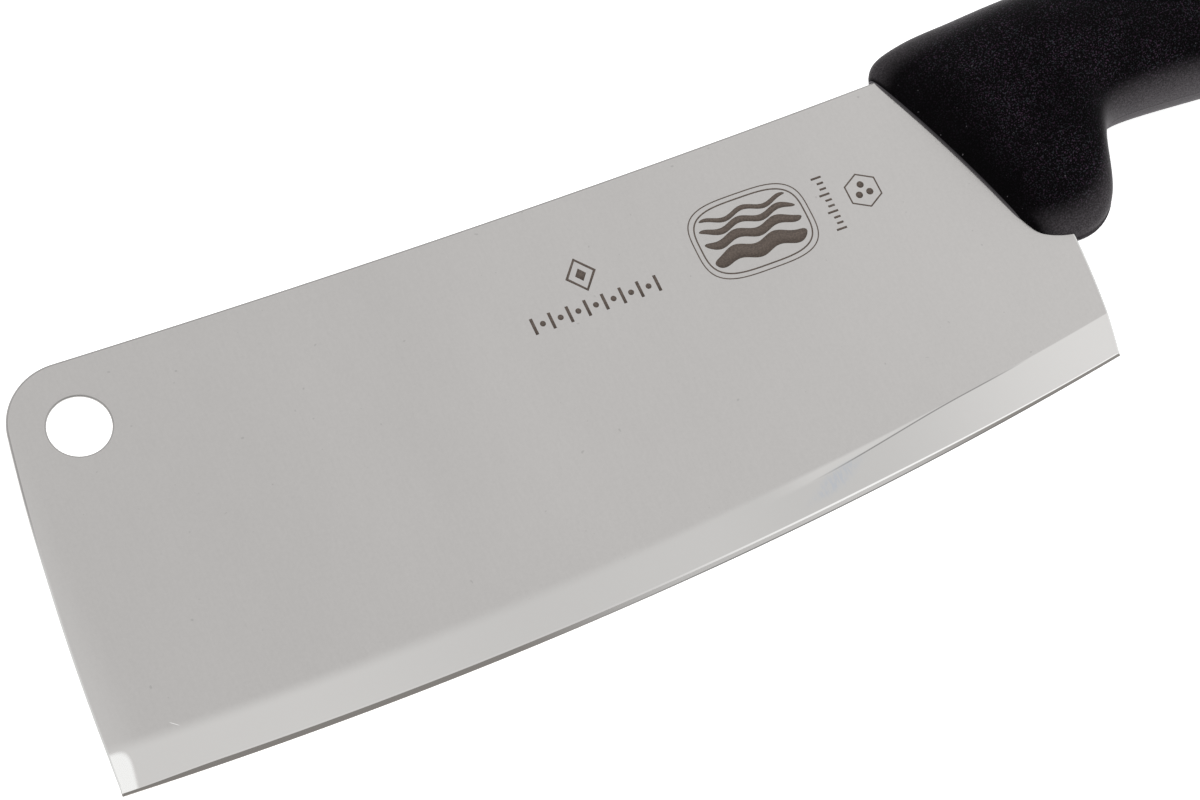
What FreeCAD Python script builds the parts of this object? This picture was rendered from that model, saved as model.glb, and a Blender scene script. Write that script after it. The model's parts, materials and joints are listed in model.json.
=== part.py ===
import FreeCAD, Part
import math
import os

from FreeCAD import Vector

# Meat cleaver lying on its side: one stainless plate that is blade and hidden tang, and one
# handle moulded round the tang. Millimetres. While it is drawn, X runs from the blade's front
# to the butt, Y points from the cutting edge to the spine, and Z = 0 is the blade's mid-plane.

# Blade outline
EDGE_LENGTH = 180.6          # front corner to heel, along X
FRONT_DEPTH = 70.6           # spine line down to the front corner of the edge
HEEL_DEPTH = 61.5            # spine line down to the heel corner
EDGE_RADIUS = 830.0          # the cutting edge is one long arc
FRONT_LEAN = 6.3             # how far the top of the front edge stands behind the front corner
FRONT_BOW = 1.45             # bulge of the front edge beyond its chord
SPINE_HOLLOW = 1.6           # dip of the concave spine below its chord
CORNER_RADIUS = 10.6         # front top corner
HEEL_SETBACK = 3.2           # how far the heel edge runs back on its way up to the guard
HEEL_RISE = 28.0             # height of the heel edge, most of it below the guard
HEEL_BOW = 0.65

# Blade section
BLADE_THICKNESS = 2.5
GRIND_WIDTH = 7.0            # wide ground bevel, measured square to the edge
EDGE_BEVEL_WIDTH = 0.85      # narrow sharpened bevel inside it
EDGE_BEVEL_THICKNESS = 0.9   # blade thickness where the sharpened bevel starts
EDGE_LAND = 0.15             # blunt width left at the very edge

# Hanging hole
HANG_HOLE_RADIUS = 5.15
HANG_HOLE_INSET = 15.8       # hole centre behind the front corner
HANG_HOLE_DEPTH = 11.9       # hole centre below the spine line
HOLE_DEBURR = 0.2

# Hidden tang
TANG_END_COVER = 20.8        # plastic between the tang's end and the end of the butt
TANG_HEIGHT = 16.0
TANG_DROP = 1.5              # tang's top below the spine line
TANG_END_RADIUS = 5.0
SHOULDER_RADIUS = 3.0        # where the heel meets the tang's lower side
TANG_HOLE_RADIUS = 4.0
TANG_HOLE_COUNT = 3
TANG_HOLE_FIRST = 32.0       # first hole behind the heel
TANG_HOLE_LAST = 20.0        # last hole ahead of the tang's end

# Handle
GUARD_HEIGHT = 39.0          # from the spine line down to the lowest point of the finger guard
GUARD_LENGTH = 31.0          # from the handle's front at the spine to the back of the guard
GRIP_TOP = 6.4               # grip's back above the spine line
GRIP_HEIGHT = 27.6
GRIP_LENGTH = 92.0           # from the back of the guard to the start of the rounded butt
BUTT_DROP = 9.5              # how far the butt hooks below the grip's underside
BUTT_ROUND = 18.0            # length of the rounded butt
HANDLE_OVERLAP = 16.8        # the handle's front, at the spine, stands this far ahead of the heel
LIP_RISE = 0.5               # height of the wall in which the handle's front rises from each face
GUARD_THICKNESS = 14.0
GRIP_THICKNESS = 23.6
SECTION_FULLNESS = 2.25      # 2 is an ellipse, more is squarer
SECTION_POINTS = 24

MEASURING_TOLERANCE = 0.02   # for finding the bounding box

HEEL_X = EDGE_LENGTH
HANDLE_FRONT_X = HEEL_X - HANDLE_OVERLAP
GUARD_BACK_X = HANDLE_FRONT_X + GUARD_LENGTH
BUTT_X = GUARD_BACK_X + GRIP_LENGTH
TANG_END_X = BUTT_X + BUTT_ROUND - TANG_END_COVER


def arc(start, middle, end):
    return Part.Arc(Vector(*start, 0), Vector(*middle, 0), Vector(*end, 0)).toShape()


def line(start, end):
    return Part.makeLine(Vector(*start, 0), Vector(*end, 0))


def bowed(start, end, bow):
    """Arc from start to end that leaves its chord by bow, to the left of the way it runs."""
    dx = end[0] - start[0]
    dy = end[1] - start[1]
    length = math.hypot(dx, dy)
    middle = ((start[0] + end[0]) / 2 - bow * dy / length, (start[1] + end[1]) / 2 + bow * dx / length)
    return arc(start, middle, end)


def plate(edges, thickness):
    """Flat plate of the given closed outline, centred on the blade's mid-plane."""
    face = Part.Face(Part.Wire(edges))
    face.translate(Vector(0, 0, -thickness / 2))
    return face.extrude(Vector(0, 0, thickness))


def edge_centre():
    """Centre of the cutting edge's arc, far above the spine."""
    dx = EDGE_LENGTH
    dy = FRONT_DEPTH - HEEL_DEPTH
    chord = math.hypot(dx, dy)
    height = math.sqrt(EDGE_RADIUS ** 2 - (chord / 2) ** 2)
    return Vector(dx / 2 - height * dy / chord, -FRONT_DEPTH + dy / 2 + height * dx / chord, 0)


def blade_plate():
    """Full-thickness plate that runs past the cutting edge, which the grind then trims."""
    below = 2 * EDGE_BEVEL_WIDTH + (FRONT_DEPTH - HEEL_DEPTH) + EDGE_LENGTH ** 2 / (8 * EDGE_RADIUS)
    front_top = (FRONT_LEAN, 0)
    spine_end = (HEEL_X, 0)
    heel_top = (HEEL_X + HEEL_SETBACK, -HEEL_DEPTH + HEEL_RISE)
    heel_shoulder = (HEEL_X + HEEL_SETBACK, -TANG_DROP - TANG_HEIGHT / 2)
    heel_corner = (HEEL_X, -HEEL_DEPTH)
    front_corner = (0, -FRONT_DEPTH)
    edges = [
        bowed(front_top, spine_end, -SPINE_HOLLOW),
        line(spine_end, heel_shoulder),
        line(heel_shoulder, heel_top),
        bowed(heel_top, heel_corner, HEEL_BOW),
        line(heel_corner, (HEEL_X, -FRONT_DEPTH - below)),
        line((HEEL_X, -FRONT_DEPTH - below), (0, -FRONT_DEPTH - below)),
        line((0, -FRONT_DEPTH - below), front_corner),
        bowed(front_corner, front_top, FRONT_BOW),
    ]
    solid = plate(edges, BLADE_THICKNESS)
    return solid.makeFillet(CORNER_RADIUS, [upright_edge(solid, front_top)])


def upright_edge(solid, place):
    """The edge of a plate that stands upright at the given place in its outline."""
    for edge in solid.Edges:
        ends = [vertex.Point for vertex in edge.Vertexes]
        if len(ends) == 2 and all(math.dist((p.x, p.y), place) < 1e-3 for p in ends):
            return edge
    raise ValueError("no upright edge there")


def grind():
    """Everything inside the ground section, turned about the centre of the cutting edge's arc."""
    half = BLADE_THICKNESS / 2
    reach = FRONT_DEPTH + EDGE_LENGTH
    section = [
        (EDGE_RADIUS - reach, half),
        (EDGE_RADIUS - GRIND_WIDTH, half),
        (EDGE_RADIUS - EDGE_BEVEL_WIDTH, EDGE_BEVEL_THICKNESS / 2),
        (EDGE_RADIUS, EDGE_LAND / 2),
    ]
    section += [(radius, -z) for radius, z in reversed(section)]
    points = [Vector(radius, 0, z) for radius, z in section]
    face = Part.Face(Part.makePolygon(points + points[:1]))
    ring = face.revolve(Vector(0, 0, 0), Vector(0, 0, 1), 360)
    ring.translate(edge_centre())
    return ring


def tang():
    """Straight bar that carries the handle, with keying holes for the plastic."""
    start = HEEL_X - HANDLE_OVERLAP / 2
    low = -TANG_DROP - TANG_HEIGHT
    bar = Part.makeBox(TANG_END_X - start, TANG_HEIGHT, BLADE_THICKNESS)
    bar.translate(Vector(start, low, -BLADE_THICKNESS / 2))
    ends = [(TANG_END_X, -TANG_DROP), (TANG_END_X, low)]
    bar = bar.makeFillet(TANG_END_RADIUS, [upright_edge(bar, end) for end in ends])
    first = HEEL_X + TANG_HOLE_FIRST
    pitch = (TANG_END_X - TANG_HOLE_LAST - first) / (TANG_HOLE_COUNT - 1)
    for index in range(TANG_HOLE_COUNT):
        bar = bar.cut(upright_cylinder(TANG_HOLE_RADIUS, first + index * pitch, low + TANG_HEIGHT / 2))
    return bar


def upright_cylinder(radius, x, y):
    centre = Vector(x, y, -BLADE_THICKNESS)
    return Part.makeCylinder(radius, 2 * BLADE_THICKNESS, centre)


def hang_hole():
    """Hanging hole with a small deburring chamfer on both faces."""
    x = HANG_HOLE_INSET
    y = -HANG_HOLE_DEPTH
    half = BLADE_THICKNESS / 2
    cutter = upright_cylinder(HANG_HOLE_RADIUS, x, y)
    for side in (1, -1):
        wide = HANG_HOLE_RADIUS + 2 * HOLE_DEBURR
        start = Vector(x, y, side * (half + HOLE_DEBURR))
        cone = Part.makeCone(wide, HANG_HOLE_RADIUS, 2 * HOLE_DEBURR, start, Vector(0, 0, -side))
        cutter = cutter.fuse(cone)
    return cutter


def blade_and_tang():
    blade = blade_plate().common(grind())
    solid = blade.fuse(tang()).removeSplitter()
    shoulder = (HEEL_X + HEEL_SETBACK, -TANG_DROP - TANG_HEIGHT)
    solid = solid.makeFillet(SHOULDER_RADIUS, [upright_edge(solid, shoulder)])
    return solid.cut(hang_hole())


def handle_stations():
    """Slices of the handle, front to butt: place on its back, place on its underside, and half
    thickness at each. The front slices fan out round the guard, and the grip's stand square."""
    front = HANDLE_FRONT_X
    back = GUARD_BACK_X
    low = -GUARD_HEIGHT
    top = GRIP_TOP
    under = GRIP_TOP - GRIP_HEIGHT
    lip = BLADE_THICKNESS / 2 + LIP_RISE
    guard = GUARD_THICKNESS / 2
    grip = GRIP_THICKNESS / 2
    length = GRIP_LENGTH
    drop = under - BUTT_DROP
    end = BUTT_X + BUTT_ROUND
    return [
        ((front, 0.2), (front + 12.4, low + 5.2), lip, lip),
        ((front + 0.6, 1.5), (front + 13.7, low + 2.6), lip + 1.0, lip + 0.9),
        ((front + 2.1, 3.0), (front + 15.3, low + 1.2), lip + 2.7, lip + 2.3),
        ((front + 5.4, 4.2), (front + 18.8, low), 0.58 * grip, guard - 1.0),
        ((front + 10.4, top - 1.4), (front + 24.3, low + 0.2), 0.71 * grip, guard),
        ((back - 14.6, top - 1.1), (back - 1.6, low + 4.0), 0.81 * grip, guard + 1.2),
        ((back - 7.6, top - 0.7), (back + 1.0, low + 10.4), 0.89 * grip, guard + 2.6),
        ((back - 0.6, top - 0.5), (back + 3.4, under - 2.1), 0.94 * grip, 0.90 * grip),
        ((back + 8.4, top - 0.2), (back + 9.0, under - 0.15), 0.97 * grip, 0.96 * grip),
        ((back + 0.28 * length, top + 0.3), (back + 0.28 * length, under - 0.9), grip, grip),
        ((back + 0.55 * length, top), (back + 0.55 * length, under - 1.6), grip, grip),
        ((back + 0.82 * length, top - 2.0), (back + 0.80 * length, under - 1.6), grip, grip),
        ((BUTT_X + 3.0, top - 5.0), (BUTT_X - 2.0, under - 5.0), 0.97 * grip, grip),
        ((BUTT_X + 12.0, top - 8.0), (BUTT_X + 7.0, drop), 0.90 * grip, 0.92 * grip),
        ((end - 2.2, top - 11.4), (end - 4.2, drop - 1.2), 0.72 * grip, 0.74 * grip),
        ((end, top - 14.6), (end - 0.6, drop + 1.6), 0.5 * grip, 0.5 * grip),
    ]


def station_wire(back, underside, half_back, half_under):
    """Closed superellipse that spans one slice, thinner or thicker towards its underside."""
    points = []
    for index in range(SECTION_POINTS):
        angle = 2 * math.pi * index / SECTION_POINTS
        along = math.copysign(abs(math.cos(angle)) ** (2 / SECTION_FULLNESS), math.cos(angle))
        across = math.copysign(abs(math.sin(angle)) ** (2 / SECTION_FULLNESS), math.sin(angle))
        share = (1 - along) / 2
        x = back[0] + (underside[0] - back[0]) * share
        y = back[1] + (underside[1] - back[1]) * share
        half = half_back + (half_under - half_back) * share
        points.append(Vector(x, y, half * across))
    curve = Part.BSplineCurve()
    curve.interpolate(Points=points, PeriodicFlag=True)
    return Part.Wire([curve.toShape()])


def handle(steel):
    """Handle moulded round the tang: it fills the keying holes and touches the steel all over."""
    body = Part.makeLoft([station_wire(*station) for station in handle_stations()], True, False)
    return body.cut(steel)


def bottom_centre(shapes):
    """Centre of the whole cleaver's bounding box, on its lowest face."""
    points = [point for shape in shapes for point in shape.tessellate(MEASURING_TOLERANCE)[0]]
    x = [point.x for point in points]
    y = [point.y for point in points]
    return Vector((min(x) + max(x)) / 2, (min(y) + max(y)) / 2, min(point.z for point in points))


def main():
    os.makedirs("parts", exist_ok=True)
    steel = blade_and_tang()
    nodes = {"blade_and_tang": steel, "handle": handle(steel)}
    origin = bottom_centre(nodes.values())
    for name, shape in nodes.items():
        shape.translate(-origin)
        shape.exportStep(f"parts/{name}.step")
        print(name, len(shape.Solids), "solid", shape.isValid(), round(shape.Volume, 1), "mm3")
    print("hang hole centre", Vector(HANG_HOLE_INSET, -HANG_HOLE_DEPTH, 0) - origin)
    print("hang hole wall", BLADE_THICKNESS - 2 * HOLE_DEBURR)
    print("origin in drawing axes", origin)


main()
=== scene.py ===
"""A meat cleaver lying on its side: a satin-ground steel blade and a moulded black handle."""

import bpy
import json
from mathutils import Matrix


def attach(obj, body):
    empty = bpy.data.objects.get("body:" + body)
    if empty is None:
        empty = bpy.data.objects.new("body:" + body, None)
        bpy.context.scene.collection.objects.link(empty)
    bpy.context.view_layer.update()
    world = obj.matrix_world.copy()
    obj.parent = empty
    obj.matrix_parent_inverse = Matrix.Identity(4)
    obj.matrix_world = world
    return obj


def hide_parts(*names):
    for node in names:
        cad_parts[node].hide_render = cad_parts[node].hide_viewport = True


bl_info = {
    "name": "Meat Cleaver",
    "version": (1, 0, 0),
    "blender": (4, 5, 0),
    "location": "View3D > Sidebar > Cleaver",
    "description": "Builds a kitchen cleaver: ground blade, etched marks and moulded handle",
    "category": "Object",
}

import json
import math

import bmesh
import bpy
import numpy as np
from bpy.props import FloatProperty, FloatVectorProperty, PointerProperty
from mathutils import Matrix, Vector

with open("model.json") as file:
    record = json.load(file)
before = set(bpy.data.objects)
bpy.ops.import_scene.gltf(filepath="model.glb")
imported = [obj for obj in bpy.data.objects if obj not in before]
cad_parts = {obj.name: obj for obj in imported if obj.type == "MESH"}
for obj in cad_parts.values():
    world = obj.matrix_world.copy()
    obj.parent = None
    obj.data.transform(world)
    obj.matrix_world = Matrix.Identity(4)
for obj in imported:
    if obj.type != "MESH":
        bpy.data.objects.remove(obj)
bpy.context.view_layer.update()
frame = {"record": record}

MM = 0.001
HANG_HOLE = next(m for m in frame["record"]["mounts"] if m["name"] == "hang_hole")
HOLE_RADIUS = HANG_HOLE["dims"]["r_mm"]
TAU = 2 * math.pi

# Millimetres
ETCH_PROUD = 0.012              # etched marks stand this far above the blade's face
ETCH_SUNK = 0.03                # and reach this far into it
HOLE_EASE = 0.2                 # eased rim of the hanging hole
BESIDE_RIM = 0.12               # first ring of the flat next to a rounded rim
SECTION_FULLNESS = 2.25         # handle's section: 2 is an ellipse, more is squarer
BADGE_FULLNESS = 3.4            # badge's outline, likewise
SLICES_PER_STATION = 14         # handle's slices from one station to the next
BUTT_DOME = 1.6                 # height of the butt's shallow dome
SHORTEST_SIDE = 0.02            # outline points closer than this are dropped
WELD = 0.002                    # vertices closer than this are one
HANDLE_WELD = 0.001             # likewise, for the handle's finer front
SHOULDER = 7.15                 # where the flat meets the wide bevel, above the cutting edge

# Places and sizes of the etched marks, in drawing coordinates
EMBLEM_AT = (101.3, -16.0)
BEAD_ROW_FROM, BEAD_ROW_TO, BEAD_ROW_LEVEL = 90.2, 112.6, -21.9
BEAD_ROW_HEIGHT = 3.0
BADGE_AT, BADGE_HALF_WIDTH, BADGE_HALF_HEIGHT = (131.9, -18.9), 10.7, 7.4
WAVE_HEIGHT, WAVE_LENGTH, WAVE_MARGIN = 0.5, 7.4, 0.5
TICK_COLUMN_AT, TICKS_TOP, TICKS_BOTTOM = 146.5, -13.7, -23.8
HEXAGON_AT, HEXAGON_RADIUS = (152.9, -18.6), 3.2

WHITE = (1.0, 1.0, 1.0, 1.0)


def length(name, description, default_mm, smallest_mm=0.0):
    """A size in metres, stated here in millimetres."""
    return FloatProperty(name=name, description=description, default=default_mm * MM,
                         min=smallest_mm * MM, unit="LENGTH", precision=5)


def tint(name, description, default):
    """A colour."""
    return FloatVectorProperty(name=name, description=description, default=default,
                               subtype="COLOR", size=3, min=0.0, max=1.0)


def amount(name, description, default, largest=1.0):
    """A number from 0 to largest."""
    return FloatProperty(name=name, description=description, default=default, min=0.0, max=largest)


class BladeSizes(bpy.types.PropertyGroup):
    """Outline and ground section of the blade."""
    edge_length: length("Edge length", "Front corner to heel corner of the cutting edge", 180.6)
    front_depth: length("Front depth", "Spine line down to the front corner", 70.6)
    heel_depth: length("Heel depth", "Spine line down to the heel corner", 61.5)
    edge_radius: length("Edge radius", "Radius of the curved cutting edge", 830.0)
    front_lean: length("Front lean", "Top of the front edge behind its bottom", 6.3)
    front_bow: length("Front bow", "Bulge of the front edge", 1.45)
    spine_hollow: length("Spine hollow", "Dip of the concave spine", 1.6)
    corner_radius: length("Corner radius", "Front top corner", 10.6)
    heel_setback: length("Heel setback", "Run of the heel edge back towards the guard", 3.2)
    heel_rise: length("Heel rise", "Height of the heel edge", 28.0)
    heel_bow: length("Heel bow", "Bulge of the heel edge", 0.65)
    thickness: length("Thickness", "Plate thickness", 2.5)
    grind_width: length("Grind width", "Wide ground bevel, square to the edge", 7.0)
    edge_bevel_width: length("Edge bevel width", "Narrow sharpened bevel", 0.76)
    edge_bevel_thickness: length("Edge bevel thickness", "Where the sharpened bevel starts", 0.9)
    edge_bevel_ends: length("Edge bevel at its ends", "What the narrow bevel tapers to", 0.40)
    edge_land: length("Edge land", "Blunt width left at the very edge", 0.15)
    hole_inset: length("Hole inset", "Hole centre behind the front corner", 15.8)
    hole_depth: length("Hole depth", "Hole centre below the spine line", 11.9)
    rim_round: length("Rim rounding", "Radius on the spine, front and heel rims", 0.3)
    tang_length: length("Tang length", "Heel to the end of the hidden tang", 103.4)
    tang_height: length("Tang height", "Height of the hidden tang", 16.0)
    tang_drop: length("Tang drop", "Tang's top below the spine line", 1.5)


class HandleSizes(bpy.types.PropertyGroup):
    """Shape of the moulded handle."""
    overlap: length("Overlap", "Handle's front ahead of the heel, at the spine", 16.8)
    guard_height: length("Guard height", "Spine line down to the guard's lowest point", 39.0)
    guard_length: length("Guard length", "Handle's front to the back of the guard", 31.0)
    guard_thickness: length("Guard thickness", "Across the guard's lower end", 14.0)
    grip_top: length("Grip top", "Grip's back above the spine line", 6.4)
    grip_height: length("Grip height", "Back to underside of the grip", 27.6)
    grip_thickness: length("Grip thickness", "Across the grip", 23.6)
    grip_length: length("Grip length", "Back of the guard to the rounded butt", 92.0)
    butt_drop: length("Butt drop", "Hook of the butt below the grip", 9.5)
    butt_round: length("Butt rounding", "Length of the rounded butt", 18.0)
    lip_rise: length("Lip rise", "Wall of the handle's front above each face of the blade", 0.5)
    lip_round: length("Lip rounding", "Radius along the top of that wall", 0.25)
    flash_height: length("Flash height", "Raised line where the two mould halves met", 0.03)
    mould_step: length("Mould step", "Far half proud of the near half under the guard", 0.45)
    front_hollow: length("Front hollow", "Bow of the handle's front line towards the butt", 0.7)


class Finishes(bpy.types.PropertyGroup):
    """Colours and gloss."""
    steel: tint("Steel", "Satin stainless steel", (0.536, 0.522, 0.511))
    # Paler than the satin steel partly for the bevel's finer grind and partly as a painted
    # reflection
    bevel_steel: tint("Bevel steel", "Finely ground bevel", (0.672, 0.660, 0.645))
    # Darker than the satin steel partly as the sharpened edge's own tone and partly as painted
    # shade
    edge_steel: tint("Edge steel", "Sharpened edge bevel", (0.42, 0.395, 0.37))
    # Painted highlights on the front corner, the rims, the hole's wall and the top of the sharpened
    # edge; also a scratch
    polished_steel: tint("Polished steel", "Buffed corner and worn rims", (1.0, 1.0, 0.985))
    steel_roughness: amount("Steel roughness", "Roughness of the satin faces", 0.30)
    plastic: tint("Plastic", "Moulded handle", (0.0016, 0.0011, 0.0016))
    grain: tint("Grain", "Lit tops of the plastic's pebbles", (0.062, 0.034, 0.062))
    # Pale dust specks, and the painted reflection of the bright blade at the foot of the front wall
    worn_plastic: tint("Worn plastic", "Foot of the front wall, and specks", (0.16, 0.15, 0.16))
    # Painted sheen: a pale reflection painted where the plastic turns away
    rubbed_plastic: tint("Rubbed plastic", "Chalky bloom where hands rub", (0.098, 0.089, 0.096))
    plastic_roughness: amount("Plastic roughness", "Roughness of the pebbled plastic", 0.42)
    plastic_gloss: amount("Plastic gloss", "Specular level of the plastic", 0.022)
    plastic_bloom: amount("Plastic bloom", "Soft pale sheen where the plastic turns away", 0.12)
    etch: tint("Etch", "Etched marks", (0.125, 0.098, 0.082))
    floor: tint("Floor", "Plain floor", (0.92, 0.92, 0.92))


class StageSettings(bpy.types.PropertyGroup):
    """Camera place and lights."""
    lens: amount("Lens", "Focal length in millimetres on a 36 mm sensor", 100.0, 400.0)
    distance: length("Distance", "Camera to the point that it aims at", 538.0)
    elevation: amount("Elevation", "Camera above the blade's plane, in degrees", 64.35, 90.0)
    azimuth: FloatProperty(name="Azimuth", description="Camera's bearing from +X, in degrees",
                           default=-131.97)
    roll: FloatProperty(name="Roll", description="Turn of the camera about its axis, in degrees",
                        default=18.95)
    aim: FloatVectorProperty(name="Aim", description="Point in the middle of the view",
                             subtype="TRANSLATION", unit="LENGTH", precision=5,
                             default=(-0.05755, -0.00503, 0.01308))


def to_mm(group):
    """The group's lengths in millimetres, by name."""
    return type("Sizes", (), {key: getattr(group, key) / MM for key in group.__annotations__})


def drawing_origin(sizes):
    """Row-frame place of the drawing's origin, which is at the front corner's X, the spine line's Y
    and the mid-plane's Z: the hanging hole's place less the hole's place in the drawing."""
    hole = np.array(HANG_HOLE["pos_m"])
    return hole - np.array([sizes.hole_inset, -sizes.hole_depth, 0.0]) * MM


# ---------------------------------------------------------------------------------------------
# Curves in the blade's plane
# ---------------------------------------------------------------------------------------------

def chord_frame(start, end):
    """Both ends as arrays, the chord's length, and unit directions along it and to its left."""
    start, end = np.array(start, float), np.array(end, float)
    chord = np.hypot(*(end - start))
    along = (end - start) / chord
    return start, end, chord, along, np.array([-along[1], along[0]])


def bowed_arc(start, end, bow, count):
    """Arc from start to end whose middle leaves the chord by bow, to the left of the way it runs.
    A point is the chord's midpoint plus R sin(a) along the chord and R cos(a) - (R - bow) across
    it."""
    start, end, chord, along, across = chord_frame(start, end)
    if abs(bow) < 1e-9:
        return start + np.linspace(0, 1, count)[:, None] * (end - start)
    radius = chord ** 2 / (8 * abs(bow)) + abs(bow) / 2
    angle = np.linspace(-1, 1, count) * math.asin(chord / 2 / radius)
    rise = np.sign(bow) * (radius * np.cos(angle) - (radius - abs(bow)))
    return (start + end) / 2 + (radius * np.sin(angle))[:, None] * along + rise[:, None] * across


def arc_centre(start, end, bow):
    """Centre and radius of the arc that bowed_arc draws."""
    start, end, chord, _, across = chord_frame(start, end)
    radius = chord ** 2 / (8 * abs(bow)) + abs(bow) / 2
    return (start + end) / 2 - np.sign(bow) * (radius - abs(bow)) * across, radius


def turn_arc(centre, radius, first, last, count):
    """Circular arc about centre from the first angle to the last, in radians."""
    angle = np.linspace(first, last, count)
    return np.array(centre) + radius * np.stack([np.cos(angle), np.sin(angle)], 1)


def circles_meet(centre_a, radius_a, centre_b, radius_b):
    """The crossing of two circles that lies to the right of the way from a to b."""
    gap = centre_b - centre_a
    distance = np.hypot(*gap)
    along = gap / distance
    reach = (radius_a ** 2 - radius_b ** 2 + distance ** 2) / (2 * distance)
    side = math.sqrt(radius_a ** 2 - reach ** 2)
    return centre_a + reach * along + side * np.array([along[1], -along[0]])


def cutting_edge(b):
    """Both ends of the cutting edge and its bow, as bowed_arc takes them."""
    front_corner = (0.0, -b.front_depth)
    heel_corner = (b.edge_length, -b.heel_depth)
    chord = math.dist(front_corner, heel_corner)
    to_chord = math.sqrt(b.edge_radius ** 2 - (chord / 2) ** 2)
    return front_corner, heel_corner, to_chord - b.edge_radius


def blade_outline(b):
    """Points of the blade and tang's outline, counter-clockwise from the front corner, and how
    much each point's rim is rounded: 0 along the cutting edge and the hidden tang, 1 elsewhere."""
    front_corner, heel_corner, edge_bow = cutting_edge(b)
    front_top = (b.front_lean, 0.0)
    spine_end = (b.edge_length, 0.0)
    heel_x = b.edge_length + b.heel_setback
    heel_top = (heel_x, -b.heel_depth + b.heel_rise)
    tang_low = -b.tang_drop - b.tang_height
    tang_end = b.edge_length + b.tang_length

    spine_centre, spine_radius = arc_centre(spine_end, front_top, b.spine_hollow)
    front_centre, front_radius = arc_centre(front_top, front_corner, -b.front_bow)
    corner = circles_meet(spine_centre, spine_radius + b.corner_radius,
                          front_centre, front_radius - b.corner_radius)
    to_spine = math.atan2(*(spine_centre - corner)[::-1])
    to_front = math.atan2(*(corner - front_centre)[::-1]) % TAU
    spine_touch = corner + b.corner_radius * np.array([math.cos(to_spine), math.sin(to_spine)])
    front_touch = corner + b.corner_radius * np.array([math.cos(to_front), math.sin(to_front)])

    spine = bowed_arc(spine_end, front_top, b.spine_hollow, 400)
    spine = spine[spine[:, 0] > spine_touch[0]][::3]
    front = bowed_arc(front_top, front_corner, -b.front_bow, 160)
    front = front[front[:, 1] < front_touch[1]]
    pieces = [
        (bowed_arc(front_corner, heel_corner, edge_bow, 240), 0),
        (bowed_arc(heel_corner, heel_top, -b.heel_bow, 60), 1),
        (bowed_arc(heel_top, (heel_x, tang_low), 0, 12), 1),
        (bowed_arc((heel_x, tang_low), (tang_end, tang_low), 0, 14), 0),
        (bowed_arc((tang_end, tang_low), (tang_end, -b.tang_drop), 0, 14), 0),
        (bowed_arc((tang_end, -b.tang_drop), (b.edge_length, -b.tang_drop), 0, 14), 0),
        (spine, 1),
        (turn_arc(corner, b.corner_radius, to_spine, to_front, 40), 1),
        (front, 1),
    ]
    points = np.concatenate([part for part, _ in pieces])
    rounded = np.concatenate([np.full(len(part), float(mark)) for part, mark in pieces])
    keep = np.hypot(*(points - np.roll(points, 1, 0)).T) > SHORTEST_SIDE
    return points[keep], rounded[keep]


def outward_normals(points):
    """Unit normals of a counter-clockwise closed outline: the sum of the two neighbouring sides'
    directions, turned a quarter turn clockwise."""
    side = np.roll(points, -1, 0) - points
    side /= np.hypot(*side.T)[:, None]
    along = side + np.roll(side, 1, 0)
    along /= np.hypot(*along.T)[:, None]
    return np.stack([along[:, 1], -along[:, 0]], 1)


# ---------------------------------------------------------------------------------------------
# Mesh helpers
# ---------------------------------------------------------------------------------------------

def grid_faces(rows, columns, close_rows=False, close_columns=False):
    """Quads between neighbouring rows and columns of a grid of vertices."""
    i = np.arange(rows if close_rows else rows - 1)
    j = np.arange(columns if close_columns else columns - 1)
    i, j = np.meshgrid(i, j, indexing="ij")
    i_next, j_next = (i + 1) % rows, (j + 1) % columns
    row, row_next = i * columns, i_next * columns
    corners = [row + j, row_next + j, row_next + j_next, row + j_next]
    return np.stack(corners, -1).reshape(-1, 4)


def new_object(name, data):
    """A new object in the scene."""
    thing = bpy.data.objects.new(name, data)
    bpy.context.scene.collection.objects.link(thing)
    return thing


def make_piece(name, vertices_mm, faces, origin, weld, attributes=None, body="root"):
    """Mesh object from drawing coordinates in millimetres, at its place in the row frame."""
    mesh = bpy.data.meshes.new(name)
    vertices = np.asarray(vertices_mm, float).reshape(-1, 3) * MM + origin
    mesh.from_pydata(vertices, [], np.asarray(faces).tolist())
    for key, values in (attributes or {}).items():
        layer = mesh.attributes.new(key, "FLOAT", "POINT")
        layer.data.foreach_set("value", np.asarray(values, np.float32).ravel())
    piece = new_object(name, mesh)
    weld_and_smooth(mesh, weld)
    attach(piece, body)
    return piece


def weld_and_smooth(mesh, distance):
    """Merges vertices closer than distance, turns all faces outwards and shades them smooth."""
    work = bmesh.new()
    work.from_mesh(mesh)
    bmesh.ops.remove_doubles(work, verts=work.verts, dist=distance)
    bmesh.ops.dissolve_degenerate(work, edges=work.edges, dist=distance / 10)
    bmesh.ops.recalc_face_normals(work, faces=work.faces)
    for face in work.faces:
        face.smooth = True
    work.to_mesh(mesh)
    work.free()


# ---------------------------------------------------------------------------------------------
# Blade
# ---------------------------------------------------------------------------------------------

def edge_centre(b):
    """Centre of the cutting edge's arc."""
    return arc_centre(*cutting_edge(b))[0]


def from_edge(b, points):
    """Distance of each point from the cutting edge: the arc's radius less the distance to its
    centre."""
    offset = points - edge_centre(b)
    return b.edge_radius - np.hypot(offset[..., 0], offset[..., 1])


def smooth_step(value, low, high):
    """0 below low, 1 above high, and 3 t^2 - 2 t^3 between them."""
    t = np.clip((value - low) / (high - low), 0, 1)
    return t * t * (3 - 2 * t)


def edge_bevel_widths(b, points):
    """Width of the narrow bevel. It tapers at the front corner and over the blade's last third."""
    taper = 1 - smooth_step(points[..., 0], 0.0, 0.09 * b.edge_length)
    taper = taper + smooth_step(points[..., 0], 0.7 * b.edge_length, b.edge_length)
    return b.edge_bevel_width + (b.edge_bevel_ends - b.edge_bevel_width) * taper


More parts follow.
